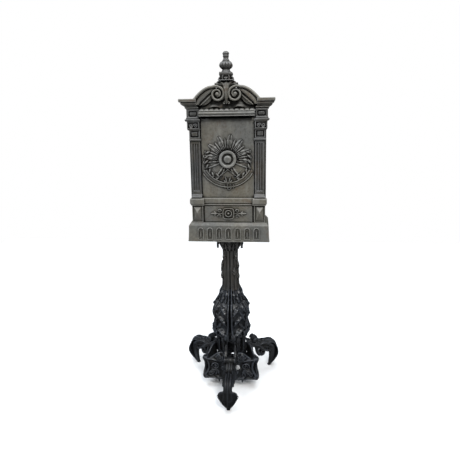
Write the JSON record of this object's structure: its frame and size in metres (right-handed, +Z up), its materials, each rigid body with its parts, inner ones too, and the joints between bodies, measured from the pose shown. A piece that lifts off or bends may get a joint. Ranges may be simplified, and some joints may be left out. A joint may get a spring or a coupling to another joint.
{
  "type": "pedestal mailbox",
  "caption": "Cast letter box with a temple front, a hinged letter flap and a rear emptying door, on a scrolled cast tripod pedestal.",
  "frame": {"origin": "centre of the bounding box on the floor", "axes": "+Z up, the letter slot faces -Y, +X to the right of a person who faces the slot"},
  "size_m": [0.4066, 0.3542, 1.22],
  "materials": {
    "front_casting": "weathered, dark grey with an olive cast, worn lighter along raised edges",
    "pedestal_iron": "black gloss paint, worn, over cast iron",
    "sheet_steel": "dark grey paint, satin, weathered",
    "zinc_fastener": "zinc plated, dulled",
    "lock_chrome": "nickel plated",
    "rivet_aluminium": "mill finish"
  },
  "bodies": {
    "housing": {"base_course": "front_casting", "bottom_plate": "sheet_steel", "box_bolts": "zinc_fastener", "box_nuts": "zinc_fastener", "box_shell": "sheet_steel", "box_washers": "zinc_fastener", "bulb": "pedestal_iron", "centre_panel": "front_casting", "column_capital": "pedestal_iron", "column_collar": "pedestal_iron", "column_shaft": "pedestal_iron", "cornice_left": "front_casting", "cornice_right": "front_casting", "door_pins": "zinc_fastener", "emblem_rivets": "rivet_aluminium", "finial": "front_casting", "finial_stud": "zinc_fastener", "flap_pin": "zinc_fastener", "frame_knuckles": "sheet_steel", "front_screws": "zinc_fastener", "keystone_leaf": "front_casting", "leg_bolts": "zinc_fastener", "leg_front": "pedestal_iron", "leg_hub": "pedestal_iron", "leg_left": "pedestal_iron", "leg_right": "pedestal_iron", "medallion": "front_casting", "pedestal_flange": "pedestal_iron", "pediment_left": "front_casting", "pediment_right": "front_casting", "pediment_screws": "zinc_fastener", "pilaster_left": "front_casting", "pilaster_right": "front_casting", "plinth": "front_casting", "rear_frame": "sheet_steel", "roof_plate": "sheet_steel", "rosette": "front_casting", "rosette_rivets": "rivet_aluminium", "skirt_front": "pedestal_iron", "skirt_left": "pedestal_iron", "skirt_posts": "pedestal_iron", "skirt_right": "pedestal_iron", "tie_rod": "zinc_fastener", "tie_rod_nuts": "zinc_fastener", "tie_rod_washers": "zinc_fastener", "tympanum": "sheet_steel", "wreath": "front_casting"},
    "mail_flap": {"mail_flap": "front_casting"},
    "rear_door": {"rear_door": "sheet_steel", "door_knuckles": "sheet_steel", "lock_body": "lock_chrome", "lock_nut": "lock_chrome"},
    "lock": {"lock_plug": "lock_chrome", "lock_cam": "lock_chrome", "cam_screw": "lock_chrome"}
  },
  "joints": [
    {"name": "flap_hinge", "type": "hinge", "parent": "housing", "child": "mail_flap", "pos_m": [0, -0.01688, 1.039], "axis": [-1, 0, 0], "range_deg": [0, 55]},
    {"name": "door_hinge", "type": "hinge", "parent": "housing", "child": "rear_door", "pos_m": [-0.121, 0.10262, 0.83], "axis": [0, 0, 1], "range_deg": [0, 110]},
    {"name": "lock_turn", "type": "hinge", "parent": "rear_door", "child": "lock", "pos_m": [0.097, 0.09662, 0.834], "axis": [0, 1, 0], "range_deg": [0, 90]}
  ]
}
